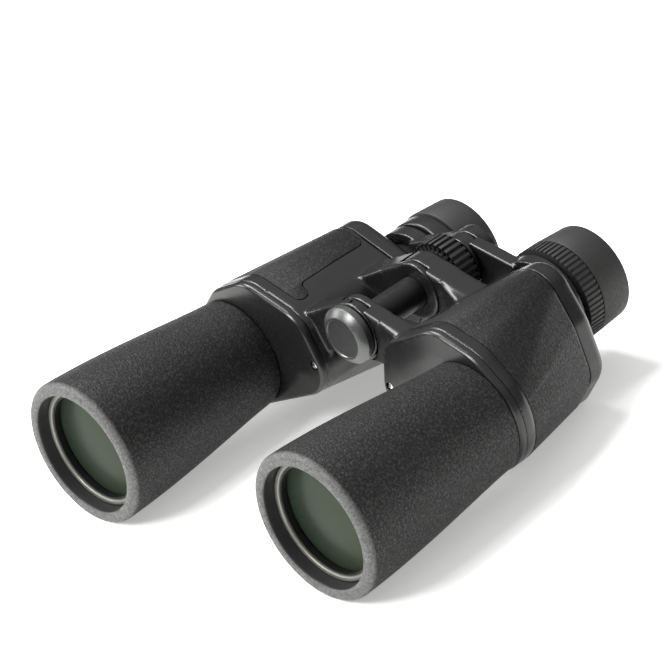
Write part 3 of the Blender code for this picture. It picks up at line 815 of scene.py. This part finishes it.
def hinge_set_screw():
    """A socket grub screw, its face just proud of the front knuckle."""
    screw = round_bar("screw", (0, 0), 1.2, 0, 4.6, 32)
    cut(screw, round_bar("socket", (0, 0), 0.65, 3.4, 6, 6))
    soften(screw, 0.2)
    edit(screw)
    bpy.ops.transform.translate(value=(0, MIDDLE_Y * MM, 0))
    bpy.ops.transform.rotate(value=-math.pi / 2, orient_axis="X", center_override=(0, 0, 0))
    bpy.ops.transform.translate(value=at(0, 10.2, 58.6))
    leave()
    black = SLOTS["inner_metal"]
    name = "hinge_set_screw"
    return hand_in(screw, name + "_socket", "left_half", "screw_steel", name, look=black)


def hinge_tube():
    """The tube that the halves turn on."""
    outside = [(6.3, 8.3), (6.6, 8.6), (6.6, 54.7), (6.3, 55.0)]
    tube = turned("tube", HINGE, [(SPINDLE_BORE, 8.3)] + outside + [(SPINDLE_BORE, 55.0)])
    return hand_in(tube, "hinge_tube_turned", "left_half", "inner_metal", "hinge_tube")


for side in (LEFT, RIGHT):
    objective_tube(side)
    objective_optics(side)
    front_cover(side)
    cover_screw(side)
    rear_cover(side)
    prism_housing(side)
    grip_pad(side)
    bridge_arm(side)
    eyecup(side)
diopter_ring()
left_collar()
focus_wheel()
hinge_cap()
hinge_tube()
hinge_set_screw()


# Room, light and camera


def floor():
    """A pale table, faintly lit from within."""
    bpy.ops.mesh.primitive_plane_add(size=14, location=(0, 0, 0))
    plane = bpy.context.object
    plane.name = "floor"
    glow = {"Emission_Color": (1, 1, 0.985, 1), "Emission_Strength": 0.38}
    top = Finish("light_table", (0.9, 0.9, 0.89), 0.9, **glow)
    plane.data.materials.append(top.material)


def softbox(name, place, target, size, power):
    """A square lamp that looks at a point."""
    bpy.ops.object.light_add(type="AREA", location=place)
    lamp = bpy.context.object
    lamp.name = name
    lamp.data.size = size
    lamp.data.energy = power
    lamp.rotation_euler = (Vector(target) - Vector(place)).to_track_quat("-Z", "Y").to_euler()


def daylight(horizon, overhead):
    """A plain white studio, brighter overhead than at the height of the table."""
    world = bpy.data.worlds.new("studio")
    bpy.context.scene.world = world
    world.use_nodes = True
    tree = world.node_tree
    split = tree.nodes.new("ShaderNodeSeparateXYZ")
    height = tree.nodes.new("ShaderNodeMapRange")
    tree.links.new(tree.nodes.new("ShaderNodeTexCoord").outputs["Generated"], split.inputs[0])
    tree.links.new(split.outputs["Z"], height.inputs["Value"])
    limits = {"From Min": 0.42, "From Max": 0.85, "To Min": horizon, "To Max": overhead}
    for socket, number in limits.items():
        height.inputs[socket].default_value = number
    sky = tree.nodes["Background"]
    sky.inputs["Color"].default_value = (1, 1, 1, 1)
    tree.links.new(height.outputs["Result"], sky.inputs["Strength"])


def camera():
    """Looks down on the right front, tipped about its line of sight."""
    turn, height, roll = (math.radians(degrees) for degrees in (53.42, 25.48, -15.47))
    target, distance = Vector((-0.00053, -0.01013, 0.05476)), 1.4426
    ahead = math.cos(height)
    back = Vector((math.sin(turn) * ahead, -math.cos(turn) * ahead, math.sin(height)))
    level = Vector((math.cos(turn), math.sin(turn), 0))
    upright = back.cross(level)
    right = math.cos(roll) * level + math.sin(roll) * upright
    up = math.cos(roll) * upright - math.sin(roll) * level
    bpy.ops.object.camera_add()
    view = bpy.context.object
    aim = Matrix((right, up, back)).transposed().to_4x4()
    view.matrix_world = Matrix.Translation(target + back * distance) @ aim
    view.data.sensor_width = 36
    view.data.lens = 203.93
    view.data.clip_end = 20
    bpy.context.scene.camera = view


bpy.context.scene.view_settings.view_transform = "Standard"
floor()
daylight(0.2, 0.75)
softbox("key", (-0.6, -0.1, 1.3), (0, 0, 0), 0.8, 30)
softbox("edge", (-1.3, -0.75, 0.75), (0, 0, 0.04), 0.6, 8)
softbox("front", (-0.1, -1.3, 1.25), (0, 0, 0.04), 0.6, 24)
camera()
